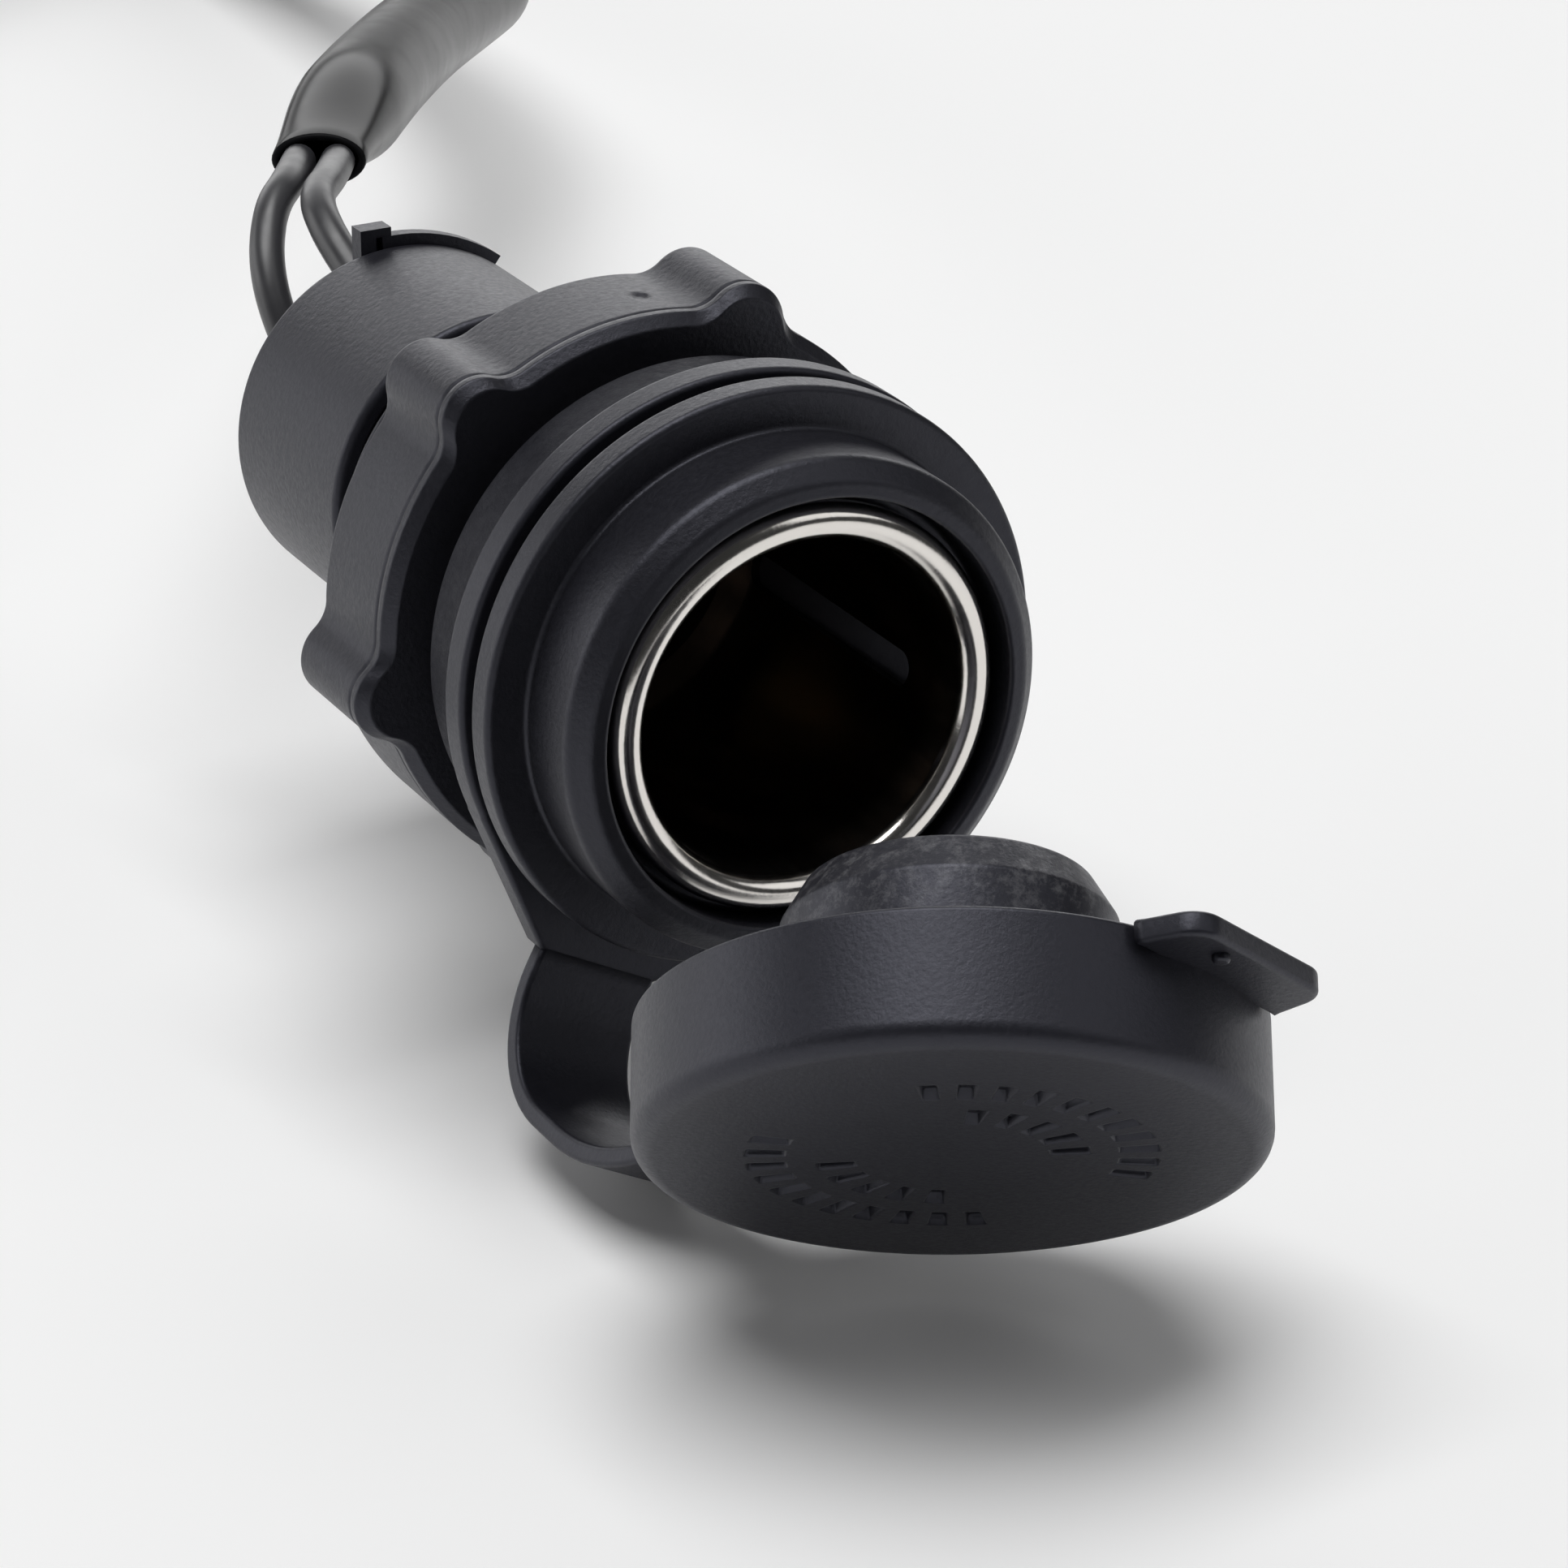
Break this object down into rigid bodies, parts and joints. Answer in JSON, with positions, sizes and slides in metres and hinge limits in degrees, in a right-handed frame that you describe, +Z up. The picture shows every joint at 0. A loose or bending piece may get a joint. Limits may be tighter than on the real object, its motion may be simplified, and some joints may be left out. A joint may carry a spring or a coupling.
{
  "type": "12 volt accessory socket",
  "caption": "Panel-mount round 12 V power socket with a threaded barrel, ring nut, gasket, rubber cap on a strap and a sleeved lead ending in ring terminals.",
  "frame": {"origin": "on the socket's axis, in the plane where a panel's front face meets the gasket's rear face", "axes": "-Y out of the socket's mouth, +Z up, +X to the right of a person who faces the mouth"},
  "size_m": [0.0985, 0.4016, 0.047],
  "materials": {
    "black_plastic": "fine matt moulded",
    "black_rubber": "matt",
    "gasket_rubber": "grainy",
    "nickel_plate": "bright, lightly scuffed",
    "phenolic": "satin",
    "brass": "bright",
    "zinc_steel": "zinc plated",
    "core_pvc": "glossy",
    "sheath_pvc": "glossy",
    "tie_nylon": "satin"
  },
  "bodies": {
    "socket": {"socket_body": "black_plastic", "rear_cover": "black_plastic", "rear_lid": "black_plastic", "tether_ring": "black_rubber", "tether_strap": "black_rubber", "panel_gasket": "gasket_rubber", "contact_sleeve": "nickel_plate", "contact_insulator": "phenolic", "centre_contact": "brass", "live_blade": "brass", "ground_blade": "brass", "live_receptacle": "brass", "ground_receptacle": "brass", "live_terminal": "brass", "ground_terminal": "brass", "lock_washer": "zinc_steel", "stud_nut": "zinc_steel", "live_core": "core_pvc", "ground_core": "core_pvc", "live_tail": "core_pvc", "ground_tail": "core_pvc", "lead_sheath": "sheath_pvc", "lead_coil": "sheath_pvc", "coil_tie": "tie_nylon"},
    "nut": {"ring_nut": "black_plastic"},
    "cap": {"cap": "black_rubber"}
  },
  "joints": [
    {"name": "cap_swing", "type": "hinge", "parent": "socket", "child": "cap", "pos_m": [-0.01745, -0.01554, -0.03283], "axis": [0.8829, 0, -0.4695], "range_deg": [-49.2, 25], "deforming": ["tether_strap"]},
    {"name": "nut_spin", "type": "hinge", "parent": "socket", "child": "nut", "pos_m": [0, 0.00685, 0], "axis": [0, 1, 0], "continuous": true}
  ]
}
